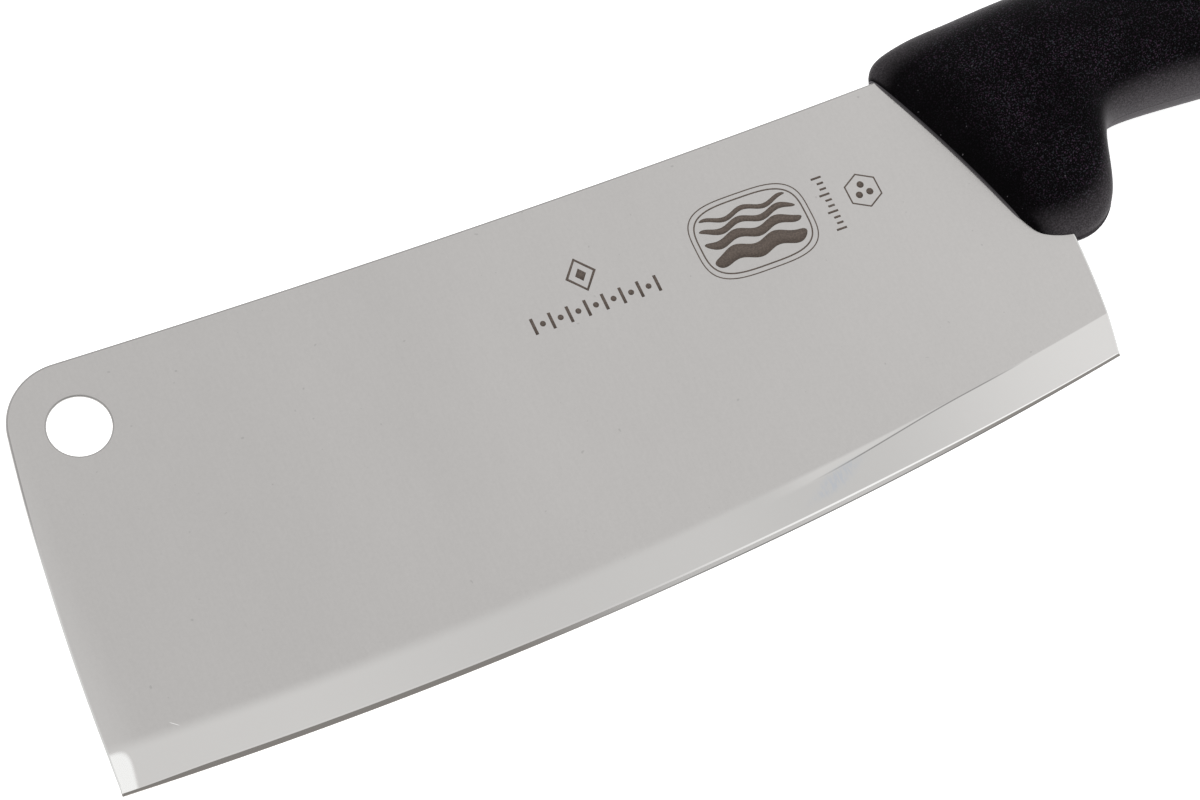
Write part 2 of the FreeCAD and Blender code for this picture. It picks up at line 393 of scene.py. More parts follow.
def half_thickness(b, points):
    """Half of the blade's thickness: the least of the flat, the wide bevel's slope and the narrow
    bevel's slope. The flat melts into the wide bevel at the front and meets it crisply at the heel:
    a soft least, min(a, b) - k log(1 + exp(-|a - b| / k)), whose k shrinks along the blade."""
    d = from_edge(b, points)
    half = b.thickness / 2
    land = b.edge_land / 2
    slope = (half - b.edge_bevel_thickness / 2) / (b.grind_width - b.edge_bevel_width)
    width = edge_bevel_widths(b, points)
    wide = half - (b.grind_width - d) * slope
    shoulder = half - (b.grind_width - width) * slope
    narrow = land + np.maximum(d, 0) * (shoulder - land) / width
    k = 0.004 + 0.07 * np.clip(1 - points[..., 0] / (0.6 * b.edge_length), 0, 1)
    soft = np.minimum(half, wide) - k * np.log1p(np.exp(-np.abs(half - wide) / k))
    return np.minimum(soft, narrow)


def spoke_crossings(b, start, end, distances):
    """Where straight spokes from start to end reach each distance from the cutting edge, as a share
    of the spoke from 0 to 1: the far root t of |start + t (end - start) - centre| = radius less
    distance."""
    way = end - start
    offset = start - edge_centre(b)
    a = (way ** 2).sum(1)[:, None]
    h = (way * offset).sum(1)[:, None]
    c = (offset ** 2).sum(1)[:, None] - (b.edge_radius - distances) ** 2
    root = h ** 2 - a * c
    t = (-h + np.sqrt(np.maximum(root, 0))) / a
    t = np.where((root < 0) | (t < 0), 1.0, t)
    return np.minimum(t, 1.0)


def blade_surface(b):
    """Blade and tang as one closed surface. Spokes run from the hanging hole to every point of the
    outline. Along a spoke the profile is the hole's wall, its eased rim, the flat, the bevels and
    the rounded outer rim, and the far side is its mirror image. Returns the grid and its rim marks:
    2 on the hole's wall, 1 on the eased and rounded rims."""
    outline, rounded = blade_outline(b)
    hole = np.array([b.hole_inset, -b.hole_depth])
    count = len(outline)
    spoke = outline - hole
    spoke /= np.hypot(*spoke.T)[:, None]
    facing = np.maximum((spoke * outward_normals(outline)).sum(1), 0.05)

    def drawn_in(depth):
        """The outline moved in along its spokes until it lies depth below the rim."""
        return outline - spoke * (depth / facing)[:, None]

    rim = rounded * np.minimum(b.rim_round, 0.8 * half_thickness(b, outline))
    inside = drawn_in(rim + BESIDE_RIM)
    rows, marks = [], []

    def add(points, z, mark):
        rows.append(np.concatenate([points, np.broadcast_to(z, count)[:, None]], 1))
        marks.append(np.broadcast_to(mark, count))

    flat = b.thickness / 2
    wall = hole + spoke * HOLE_RADIUS
    add(wall, 0.0, 2.0)
    add(wall, 0.5 * flat, 2.0)
    for angle in np.linspace(0, math.pi / 2, 5):
        grow = HOLE_EASE * (1 - math.cos(angle))
        add(hole + spoke * (HOLE_RADIUS + grow), flat - HOLE_EASE * (1 - math.sin(angle)), 1.0)
    start = hole + spoke * (HOLE_RADIUS + HOLE_EASE + BESIDE_RIM)
    distances = np.array([13, 11, 10, 9.2, 8.6, 8.1, 7.7, 7.4, 7.2, 7.06, 6.94, 6.8, 6.6, 6.3, 5.9,
                          5.3, 4.6, 3.8, 3.0, 2.2, 1.5])
    shares_of_bevel = np.array([1.3, 1.1, 1.03, 0.97, 0.88, 0.6, 0.3])
    width = edge_bevel_widths(b, outline)[:, None]
    distances = np.concatenate([np.tile(distances, (count, 1)), shares_of_bevel * width], 1)
    crossings = spoke_crossings(b, start, inside, distances)
    first = crossings[:, :1]
    shares = np.array([0, 0.012, 0.04, 0.1, 0.2, 0.34, 0.5, 0.66, 0.82, 0.93])
    shares = np.concatenate([first * shares, crossings, np.ones((count, 1))], 1)
    for share in shares.T:
        points = start + share[:, None] * (inside - start)
        add(points, half_thickness(b, points), 0.0)
    for angle in np.linspace(0, math.pi / 2, 6):
        z = half_thickness(b, drawn_in(rim)) - rim * (1 - math.cos(angle))
        add(drawn_in(rim * (1 - math.sin(angle))), z, rounded)
    add(outline, 0.0, rounded)

    top = np.stack(rows)
    rim_mark = np.stack(marks)
    under = top[-2:0:-1] * np.array([1, 1, -1])
    surface = np.concatenate([top, under])
    rim_mark = np.concatenate([rim_mark, rim_mark[-2:0:-1]])
    return surface, rim_mark


class CLEAVER_OT_blade(bpy.types.Operator):
    """Blade and hidden tang: one plate with its ground bevels, rounded rims and hanging hole"""
    bl_idname = "cleaver.blade"
    bl_label = "Blade"

    def execute(self, context):
        b = to_mm(context.scene.cleaver_blade)
        surface, rim_mark = blade_surface(b)
        rows, columns = surface.shape[:2]
        faces = grid_faces(rows, columns, close_rows=True, close_columns=True)
        plan = surface[..., :2]
        distance = from_edge(b, plan)
        attributes = {"from_edge": distance, "edge_share": distance / edge_bevel_widths(b, plan),
                      "along": plan[..., 0], "rim": rim_mark}
        piece = make_piece("blade", surface, faces, drawing_origin(b),
                           attributes=attributes, weld=WELD * MM)
        piece.data.materials.append(satin_steel(context.scene.cleaver_finish))
        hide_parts("blade_and_tang")
        return {"FINISHED"}


# ---------------------------------------------------------------------------------------------
# Handle
# ---------------------------------------------------------------------------------------------

def smooth_rows(rows, at):
    """Natural cubic spline through the rows, read at the given places, which count in rows. Rows
    stand as far apart as the square root of the distance between their middles."""
    rows = np.asarray(rows, float)
    middle = (rows[:, 0:2] + rows[:, 2:4]) / 2
    step = np.sqrt(np.hypot(*np.diff(middle, axis=0).T))
    count = len(rows)
    system = np.eye(count)
    right = np.zeros_like(rows)
    inner = np.arange(1, count - 1)
    system[inner, inner - 1] = step[:-1]
    system[inner, inner] = 2 * (step[:-1] + step[1:])
    system[inner, inner + 1] = step[1:]
    slope = np.diff(rows, axis=0) / step[:, None]
    right[inner] = 6 * np.diff(slope, axis=0)
    bend = np.linalg.solve(system, right)

    index = np.minimum(at.astype(int), count - 2)
    share = at - index
    gap = step[index][:, None]
    t = share[:, None] * gap
    start, curve, next_curve = rows[index], bend[index], bend[index + 1]
    lean = slope[index] - gap * (2 * curve + next_curve) / 6
    return start + lean * t + curve * t ** 2 / 2 + (next_curve - curve) * t ** 3 / (6 * gap)


def handle_stations(h, b):
    """Slices of the handle, front to butt: place on its back (x, y), place on its underside (x, y),
    half thickness at each. The front slices fan out round the guard, and the grip's are square."""
    front = b.edge_length - h.overlap
    back = front + h.guard_length
    low = -h.guard_height
    top = h.grip_top
    under = h.grip_top - h.grip_height
    lip = b.thickness / 2 + h.lip_rise
    guard = h.guard_thickness / 2
    grip = h.grip_thickness / 2
    long = h.grip_length
    butt = back + long
    end = butt + h.butt_round
    drop = under - h.butt_drop
    return [
        (front, 0.2, front + 12.4, low + 5.2, lip, lip),
        (front + 0.6, 1.5, front + 13.7, low + 2.6, lip + 1.0, lip + 0.9),
        (front + 2.1, 3.0, front + 15.3, low + 1.2, lip + 2.7, lip + 2.3),
        (front + 5.4, 4.2, front + 18.8, low, 0.58 * grip, guard - 1.0),
        (front + 10.4, top - 1.4, front + 24.3, low + 0.2, 0.71 * grip, guard),
        (back - 14.6, top - 1.1, back - 1.6, low + 4.0, 0.81 * grip, guard + 1.2),
        (back - 7.6, top - 0.7, back + 1.0, low + 10.4, 0.89 * grip, guard + 2.6),
        (back - 0.6, top - 0.5, back + 3.4, under - 2.1, 0.94 * grip, 0.90 * grip),
        (back + 8.4, top - 0.2, back + 9.0, under - 0.15, 0.97 * grip, 0.96 * grip),
        (back + 0.28 * long, top + 0.3, back + 0.28 * long, under - 0.9, grip, grip),
        (back + 0.55 * long, top, back + 0.55 * long, under - 1.6, grip, grip),
        (back + 0.82 * long, top - 2.0, back + 0.80 * long, under - 1.6, grip, grip),
        (butt + 3.0, top - 5.0, butt - 2.0, under - 5.0, 0.97 * grip, grip),
        (butt + 12.0, top - 8.0, butt + 7.0, drop, 0.90 * grip, 0.92 * grip),
        (end - 2.2, top - 11.4, end - 4.2, drop - 1.2, 0.72 * grip, 0.74 * grip),
        (end, top - 14.6, end - 0.6, drop + 1.6, 0.5 * grip, 0.5 * grip),
    ]


def round_the_slice():
    """Angles round a slice, evenly spaced, with a few more beside the mould line at its back (0)
    and underside (pi), and how far the flash stands out at each, from 0 to 1."""
    even = np.linspace(0, TAU, 160, endpoint=False)
    beside = np.array([-0.013, -0.005, 0.005, 0.013])
    angle = np.sort(np.concatenate([even, beside % TAU, math.pi + beside]))
    from_line = np.minimum(np.abs((angle + math.pi / 2) % math.pi - math.pi / 2), 1.0)
    return angle, np.clip(1 - (from_line - 0.005) / 0.008, 0, 1)


def handle_surface(h, b):
    """Handle as one closed surface: a superellipse for each slice, |cos|^(2/p) along the slice and
    |sin|^(2/p) across it, carried along the smoothed stations. The front is a low wall with a
    rounded top edge, and the butt is a shallow dome."""
    stations = handle_stations(h, b)
    at = np.arange(0, SLICES_PER_STATION * (len(stations) - 1) + 1) / SLICES_PER_STATION
    slices = smooth_rows(stations, at)
    angle, flash = round_the_slice()
    cosine, sine = np.cos(angle), np.sin(angle)
    along = np.sign(cosine) * np.abs(cosine) ** (2 / SECTION_FULLNESS)
    across = np.sign(sine) * np.abs(sine) ** (2 / SECTION_FULLNESS)

    def rings(rows, station, inset=0.0, forward=0.0):
        """Rings of the given slices, drawn in by inset and pushed ahead by forward. The front's
        hollow and its square ends, tanh(k across) / tanh(k), fade out over the first stations."""
        back, under = rows[:, None, 0:2], rows[:, None, 2:4]
        way = under - back
        reach = np.linalg.norm(way, axis=-1, keepdims=True)
        way = way / reach
        ahead = np.stack([way[..., 1], -way[..., 0]], -1)
        half = reach / 2 - inset
        fade = np.clip(1 - station / 5, 0, 1)[:, None, None]
        hollow = h.front_hollow * fade * (1 - along[None, :, None] ** 2)
        place = (back + under) / 2 - way * half * along[None, :, None] + ahead * (forward - hollow)
        share = (1 - along) / 2
        thick = rows[:, 4:5] * (1 - share) + rows[:, 5:6] * share - inset
        squareness = 0.01 + 2.5 * np.clip(1 - station / 3, 0, 1)[:, None]
        rise = thick * np.tanh(squareness * across) / np.tanh(squareness)
        return np.concatenate([place, rise[..., None]], -1), way

    body, way = rings(slices, at)

    # Flash along the mould line, and the far half's step under the guard
    outward = -way * np.sign(along)[None, :, None]
    proud = h.flash_height * flash[None, :, None]
    body[..., :2] += outward * proud
    under_guard = np.exp(-((at - 3.4) / 1.5) ** 2)[:, None] * np.clip(-along, 0, 1) ** 4
    body[..., :2] += way * (h.mould_step * under_guard * (sine < -1e-6))[..., None]

    front = slices[:1]
    lip = [rings(front, at[:1], inset=h.lip_round * (1 - math.sin(a)),
                 forward=h.lip_round * math.cos(a))[0]
           for a in np.linspace(0, math.pi / 2, 5)[:-1]]
    wall = [lip[0] * np.array([1, 1, share]) for share in (0.0, 0.3, 0.45, 0.55, 0.65, 0.8, 0.9)]
    dome = [shrink_to_middle(body[-1:], s, BUTT_DOME * (1 - s ** 2))
            for s in (0.97, 0.9, 0.78, 0.62, 0.42, 0.2, 0.0)]
    surface = np.concatenate([*wall, *lip, body, *dome])
    front_rows = len(wall) + len(lip)
    behind = np.concatenate([np.zeros(front_rows), at / at[-1], np.ones(len(dome))])[:, None]
    # Painted reflection: a pale line at the foot of the front wall, where it faces the bright blade
    height = np.abs(surface[..., 2]) - b.thickness / 2
    wall_reflection = np.clip(1.3 - height / h.lip_rise, 0, 1)
    wall_reflection[front_rows:] = 0.0
    # Painted shade: the pebbles' painted glints fade towards the front
    behind_lip = np.broadcast_to(smooth_step(behind, 0.06, 0.34), wall_reflection.shape)
    return surface, {"wall_reflection": wall_reflection, "behind_lip": behind_lip, "painted_sheen": painted_sheen_places(behind, along)}


def painted_sheen_places(behind, along):
    """How much painted sheen each place gets, from 0 to 1: a pale reflection on the underside past
    the guard, the back at the very front, and a little at the butt, where the plastic turns away.
    Behind runs from 0 at the front to 1 at the butt. Along runs from -1 at the underside to 1 at
    the back."""
    underside = smooth_step(behind, 0.08, 0.2) * smooth_step(-along, 0.72, 1.0)
    front = 0.7 * smooth_step(behind, 0.0, 0.05) * smooth_step(along, 0.74, 1.0)
    return np.maximum(np.maximum(underside, front), 0.25 * smooth_step(behind, 0.93, 1.0))


def shrink_to_middle(ring, scale, ahead):
    """A ring drawn in towards its middle and pushed towards +X."""
    middle = ring.mean(1, keepdims=True)
    return middle + (ring - middle) * scale + np.array([ahead, 0, 0])


class CLEAVER_OT_handle(bpy.types.Operator):
    """Moulded handle with its finger guard, mould line and hooked butt"""
    bl_idname = "cleaver.handle"
    bl_label = "Handle"

    def execute(self, context):
        b = to_mm(context.scene.cleaver_blade)
        h = to_mm(context.scene.cleaver_handle)
        surface, attributes = handle_surface(h, b)
        rows, columns = surface.shape[:2]
        faces = grid_faces(rows, columns, close_columns=True)
        piece = make_piece("moulded_handle", surface, faces, drawing_origin(b),
                           attributes=attributes, weld=HANDLE_WELD * MM)
        piece.data.materials.append(pebbled_plastic(context.scene.cleaver_finish))
        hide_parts("handle")
        return {"FINISHED"}


# ---------------------------------------------------------------------------------------------
# Etched marks
# ---------------------------------------------------------------------------------------------

def etched_strip(first, second, closed=False):
    """Thin solid between two curves with the same number of points. Its section has four corners:
    sunk and proud of the blade's face along the first curve, proud and sunk along the second."""
    first, second = np.asarray(first, float), np.asarray(second, float)
    rows = [(first, 0.0), (first, 1.0), (second, 1.0), (second, 0.0)]
    count = len(first)
    grid = np.stack([np.concatenate([curve, np.full((count, 1), level)], 1)
                     for curve, level in rows])
    faces = grid_faces(4, count, close_rows=True, close_columns=closed)
    if not closed:
        corners = np.arange(4) * count
        faces = np.concatenate([faces, corners[None], corners[None, ::-1] + count - 1])
    return grid.reshape(-1, 3), faces


def etched_ring(path, width):
    """Line of the given width along a closed path, half of it to each side."""
    path = np.asarray(path, float)
    aside = outward_normals(path) * width / 2
    return etched_strip(path + aside, path - aside, closed=True)


def etched_shape(centre, half_width, height_at, count=25):
    """Solid mark, mirror-symmetric about its centre's level: at t from -1 to 1 across its width it
    reaches height_at(t) above and below."""
    t = -np.cos(np.linspace(0, math.pi, count))
    x = centre[0] + half_width * t
    height = height_at(t)
    return etched_strip(np.stack([x, centre[1] - height], 1), np.stack([x, centre[1] + height], 1))


def disc(centre, radius):
    """Circle: the root of 1 - t^2, times the radius."""
    return etched_shape(centre, radius, lambda t: radius * np.sqrt(np.maximum(1 - t ** 2, 0)))


def diamond(centre, half_width, half_height):
    """Diamond: 1 - |t|, times the half height."""
    return etched_shape(centre, half_width, lambda t: half_height * (1 - np.abs(t)), 3)


def bar(centre, half_width, half_height):
    """Rectangle: the half height at every t."""
    return etched_shape(centre, half_width, lambda t: np.full(t.shape, half_height), 2)


def rounded_box(centre, half_width, half_height, fullness, count=120):
    """Closed superellipse: |cos|^(2/p) of the half width by |sin|^(2/p) of the half height, where p
    is the fullness."""
    angle = np.linspace(0, TAU, count, endpoint=False)
    reach = [np.sign(f) * np.abs(f) ** (2 / fullness) for f in (np.cos(angle), np.sin(angle))]
    return np.array(centre) + np.stack(reach, 1) * np.array([half_width, half_height])


def polygon(centre, radius, sides, turn=0.0):
    """Corners evenly spaced round a circle, the first at the angle turn."""
    angle = turn + np.arange(sides) * TAU / sides
    return np.array(centre) + radius * np.stack([np.cos(angle), np.sin(angle)], 1)


def wave_band(centre, half_width, half_height, middle, thick, phase):
    """Band inside the badge between two cosine waves, as wide as the badge is at that height."""
    level = middle / half_height
    reach = half_width * (1 - abs(level) ** BADGE_FULLNESS) ** (1 / BADGE_FULLNESS) - WAVE_MARGIN
    x = np.linspace(-reach, reach, 60)
    y = middle + WAVE_HEIGHT * np.cos(x * TAU / WAVE_LENGTH + phase)
    taper = thick / 2 * np.sqrt(np.maximum(1 - (x / reach) ** 6, 0.02))
    lower = np.stack([centre[0] + x, centre[1] + y - taper], 1)
    upper = np.stack([centre[0] + x, centre[1] + y + taper], 1)
    return etched_strip(lower, upper)


def emblem_marks(centre):
    """Diamond outline round a small solid diamond."""
    corners = [(-2.5, 0), (0, -2.9), (2.5, 0), (0, 2.9)]
    return [etched_ring(np.array(centre) + corners, 0.56), diamond(centre, 1.0, 1.2)]


def bead_row_marks(first, last, level, height):
    """Upright bars with beads between them."""
    places = np.linspace(first, last, 15)
    marks = []
    for index, x in enumerate(places):
        if index % 2:
            marks.append(disc((x, level), 0.5))
        else:
            marks.append(bar((x, level), 0.27, height / 2))
    return marks


def badge_marks(centre, half_width, half_height):
    """Soft-cornered double border round three waves, over a solid foot."""
    marks = []
    for inset, line in ((0.0, 0.20), (0.9, 0.26)):
        border = rounded_box(centre, half_width - inset, half_height - inset, BADGE_FULLNESS)
        marks.append(etched_ring(border, line))
    waves = ((4.2, 0.9, 0.0), (2.35, 1.2, 1.2), (0.1, 1.7, 2.4), (-3.0, 2.7, 3.6))
    for middle, thick, phase in waves:
        marks.append(wave_band(centre, half_width - 1.3, half_height - 1.3, middle, thick, phase))
    return marks


def tick_column_marks(x, top, bottom):
    """Column of short ticks, every third one longer."""
    levels = np.linspace(top, bottom, 10)
    return [bar((x - (0.0 if index % 3 else 0.25), y), 0.6 if index % 3 else 0.95, 0.19)
            for index, y in enumerate(levels)]


def hexagon_marks(centre, radius):
    """Hexagon outline round three beads."""
    beads = [disc(place, 0.62) for place in polygon(centre, 1.15, 3, math.pi / 2)]
    return [etched_ring(polygon(centre, radius, 6, math.pi / 6), 0.3), *beads]


class CLEAVER_OT_etched_marks(bpy.types.Operator):
    """Plain ornaments etched on the near face: emblem, bead row, badge, ticks and hexagon"""
    bl_idname = "cleaver.etched_marks"
    bl_label = "Etched marks"

    def execute(self, context):
        b = to_mm(context.scene.cleaver_blade)
        groups = {
            "mark_emblem": emblem_marks(EMBLEM_AT),
            "mark_bead_row": bead_row_marks(BEAD_ROW_FROM, BEAD_ROW_TO, BEAD_ROW_LEVEL,
                                            BEAD_ROW_HEIGHT),
            "mark_badge": badge_marks(BADGE_AT, BADGE_HALF_WIDTH, BADGE_HALF_HEIGHT),
            "mark_tick_column": tick_column_marks(TICK_COLUMN_AT, TICKS_TOP, TICKS_BOTTOM),
            "mark_hexagon": hexagon_marks(HEXAGON_AT, HEXAGON_RADIUS),
        }
        material = etched_steel(context.scene.cleaver_finish)
        for name, marks in groups.items():
            vertices, faces, count = [], [], 0
            for mark, quads in marks:
                vertices.append(mark)
                faces.append(quads + count)
                count += len(mark)
            vertices = np.concatenate(vertices)
            vertices[:, 2] = b.thickness / 2 + np.where(vertices[:, 2] > 0, ETCH_PROUD, -ETCH_SUNK)
            piece = make_piece(name, vertices, np.concatenate(faces), drawing_origin(b),
                               weld=WELD * MM)
            piece.data.materials.append(material)
        return {"FINISHED"}


# ---------------------------------------------------------------------------------------------
# Materials
# ---------------------------------------------------------------------------------------------

class Nodes:
    """Short way to place and join nodes in one material or world."""

    def __init__(self, owner):
        owner.use_nodes = True
        self.tree = owner.node_tree
        self.tree.nodes.clear()

    def add(self, kind, inputs=None, **settings):
        """New node with the given settings and inputs."""
        node = self.tree.nodes.new(kind)
        for key, value in settings.items():
            setattr(node, key, value)
        for key, value in (inputs or {}).items():
            self.put(node.inputs[key], value)
        return node

    def put(self, socket, value):
        """Joins another node's output to the socket, or sets the plain value on it."""
        if isinstance(value, bpy.types.NodeSocket):
            self.tree.links.new(value, socket)
        else:
            socket.default_value = value

    def math(self, operation, *values):
        """One sum on numbers or outputs."""
        node = self.add("ShaderNodeMath", operation=operation)
        for socket, value in zip(node.inputs, values):
            self.put(socket, value)
        return node.outputs[0]

    def plus(self, a, b):
        """a + b."""
        return self.math("ADD", a, b)

    def minus(self, a, b):
        """a - b."""
        return self.math("SUBTRACT", a, b)

    def times(self, a, b):
        """a times b."""
        return self.math("MULTIPLY", a, b)

    def larger(self, a, b):
        """The larger of a and b."""
        return self.math("MAXIMUM", a, b)

    def band(self, value, low, high, to_low=0.0, to_high=1.0):
        """Smooth step from to_low below low to to_high above high."""
        node = self.add("ShaderNodeMapRange", interpolation_type="SMOOTHSTEP",
                        inputs={"Value": value, "From Min": low, "From Max": high,
                                "To Min": to_low, "To Max": to_high})
        return node.outputs["Result"]

    def hump(self, value, centre, inner, outer, top=1.0):
        """Top within inner of the centre, falling smoothly to 0 at outer."""
        off = self.math("ABSOLUTE", self.minus(value, centre))
        return self.band(off, inner, outer, top, 0.0)

    def mix(self, share, first, second):
        """Colour from the first to the second as share goes from 0 to 1."""
        node = self.add("ShaderNodeMix", data_type="RGBA")
        by_kind = {socket.name: socket for socket in node.inputs if socket.type == "RGBA"}
        self.put(node.inputs[0], share)
        self.put(by_kind["A"], first)
        self.put(by_kind["B"], second)
        return next(socket for socket in node.outputs if socket.type == "RGBA")

    def noise(self, vector, scale, detail=2.0, roughness=0.5):
        """Soft random field from 0 to 1, with scale features to the metre."""
        node = self.add("ShaderNodeTexNoise", inputs={"Vector": vector, "Scale": scale,
                                                      "Detail": detail, "Roughness": roughness})
        return node.outputs["Fac"]

    def stretched(self, scale):
        """Object coordinates, stretched by the given factors."""
        place = self.add("ShaderNodeTexCoord").outputs["Object"]
        return self.add("ShaderNodeMapping", inputs={"Vector": place, "Scale": scale}).outputs[0]

    def attribute(self, name):
        """One of the surface's own attributes."""
        return self.add("ShaderNodeAttribute", attribute_name=name).outputs["Fac"]

    def bump(self, height, strength, distance):
        """Normals tilted by the height field."""
        inputs = {"Height": height, "Strength": strength, "Distance": distance}
        return self.add("ShaderNodeBump", inputs=inputs).outputs[0]

    def surface(self, **inputs):
        """Principled surface as the material's output. A name's underscores stand for spaces."""
        inputs = {key.replace("_", " "): value for key, value in inputs.items()}
        shader = self.add("ShaderNodeBsdfPrincipled", inputs=inputs)
        self.add("ShaderNodeOutputMaterial", inputs={"Surface": shader.outputs[0]})


def new_material(name):
    """A new material, and the Nodes that build it."""
    material = bpy.data.materials.new(name)
    return material, Nodes(material)


def rgba(colour, gain=1.0):
    """The colour times gain, opaque."""
    return (*[channel * gain for channel in colour], 1.0)


# In the steel's helpers below, x is millimetres behind the front corner, d is millimetres above the
# cutting edge, and share is d as a share of the narrow bevel's width.

def satin_flat(n, finish, x, place, tone):
    """Satin faces: uneven tone, a paler strip along the front, and small dark specks."""
    flat = n.mix(tone, rgba(finish.steel, 0.88), rgba(finish.steel, 1.12))
    flat = n.mix(n.band(x, 0.5, 7.0, 0.35, 0.0), flat, rgba(finish.bevel_steel))
    specks = n.band(n.noise(place, 1100.0, 0.0, 0.5), 0.86, 0.9, 0.0, 0.35)
    return n.mix(specks, flat, rgba(finish.steel, 0.55))


def wide_bevel(n, finish, x, off_line, tone):
    """Wide bevel: darker in the middle of the blade, most of all below the crisp grinding line; the
    band between that line and the shoulder is left paler as a painted reflection. It pales towards
    the heel."""
    dip = n.plus(n.band(x, 25.0, 75.0, 0.0, 0.12), n.band(x, 98.0, 122.0, 0.0, 0.08))
    dip = n.times(dip, n.band(x, 126.0, 180.0, 1.0, 0.0))
    # Painted reflection: the tilted band above the grinding line is spared most of the darkening
    above_line = n.times(n.band(off_line, -0.4, 0.4), n.band(x, 110.0, 124.0, 0.0, 0.7))
    dip = n.times(dip, n.minus(1.0, above_line))
    ground = n.mix(dip, rgba(finish.bevel_steel), (0.10, 0.10, 0.10, 1.0))
    pale = n.plus(n.times(tone, 0.06), n.band(x, 140.0, 178.0, 0.0, 0.05))
    return n.mix(pale, ground, WHITE)


def with_grinding_line(n, finish, colour, x, d, off_line, place):
    """Crisp dark line that rises to the shoulder, and a bluish hatched patch where it starts."""
    on_line = n.times(n.hump(off_line, 0.0, 0.03, 0.17), n.hump(x, 143.0, 12.0, 23.0, 0.85))
    colour = n.mix(on_line, colour, rgba(finish.steel, 0.42))
    slant = n.add("ShaderNodeMapping", inputs={"Vector": place, "Rotation": (0.0, 0.0, -0.9),
                                               "Scale": (1.0, 0.2, 1.0)})
    hatch = n.noise(slant.outputs[0], 2600.0, 1.0, 0.6)
    along_patch = n.minus(x, n.times(d, 1.6))
    patch = n.times(n.hump(along_patch, 118.5, 1.0, 5.0), n.hump(d, 4.2, 0.8, 2.4))
    patch = n.times(patch, n.band(hatch, 0.42, 0.60, 0.15, 0.5))
    return n.mix(patch, colour, (0.46, 0.50, 0.57, 1.0))


def with_sharpened_edge(n, finish, colour, x, share):
    """Sharpened edge: a painted reflection makes it brightest in mid-blade, where it faces the
    light, with a painted dark line of shade low on it and a painted highlight along its upper
    border. Also returns how far a point is on it, from 0 to 1."""
    on_edge = n.band(share, 0.95, 1.03, 1.0, 0.0)
    facing = n.hump(x, 112.0, 16.0, 50.0)
    edge_with_painted_light = n.mix(facing, rgba(finish.edge_steel), rgba(finish.bevel_steel, 1.25))
    dark = n.times(n.band(share, 0.15, 0.30, 1.0, 0.0), n.band(x, 60.0, 110.0, 0.0, 0.75))
    edge_with_painted_light = n.mix(dark, edge_with_painted_light, rgba(finish.steel, 0.3))
    colour = n.mix(on_edge, colour, edge_with_painted_light)
    # Painted highlight along the upper border of the sharpened edge
    shoulder_highlight = n.times(n.hump(share, 1.15, 0.1, 0.3), n.band(x, 80.0, 125.0, 0.1, 0.9))
    return n.mix(shoulder_highlight, colour, rgba(finish.polished_steel)), on_edge


def with_corner_highlight(n, finish, colour, x, d, share):
    """Painted highlight on the front corner, where the curved bevel catches the light, and one
    short scratch above it. Also returns how far a point is in the painted highlight: a curve of
    (x / 2.7)^3 + (d / 6.7)^6, leaning back a little as it rises."""
    inward = n.larger(n.minus(x, n.times(d, 0.14)), 0.0)
    reach = n.plus(n.math("POWER", n.math("DIVIDE", inward, 2.7), 3.0),
                   n.math("POWER", n.math("DIVIDE", d, 6.7), 6.0))
    corner_highlight = n.times(n.band(reach, 0.5, 1.2, 1.0, 0.0), n.band(share, 1.0, 1.12))
    slant = n.plus(d, n.times(x, 0.75))
    scratch = n.times(n.hump(x, 11.3, 0.3, 0.75), n.hump(slant, 16.55, 0.03, 0.10))
    bright = n.larger(corner_highlight, n.times(scratch, 0.8))
    return n.mix(bright, colour, rgba(finish.polished_steel)), corner_highlight


def with_rim_highlights(n, finish, colour, d):
    """Rims: painted highlights low on the front and heel rims and on the hole's wall, where the
    rounded rims catch the light, and darker along the spine. Also returns how far a point is on a
    rim, from 0 to 1."""
    rim = n.attribute("rim")
    on_rim = n.band(rim, 0.3, 0.9)
    high = n.band(d, 34.0, 52.0)
    rims = n.mix(high, rgba(finish.polished_steel, 0.74), rgba(finish.steel, 0.62))
    rims = n.mix(n.band(rim, 1.2, 1.8), rims, rgba(finish.polished_steel))
    return n.mix(n.times(on_rim, 0.85), colour, rims), on_rim


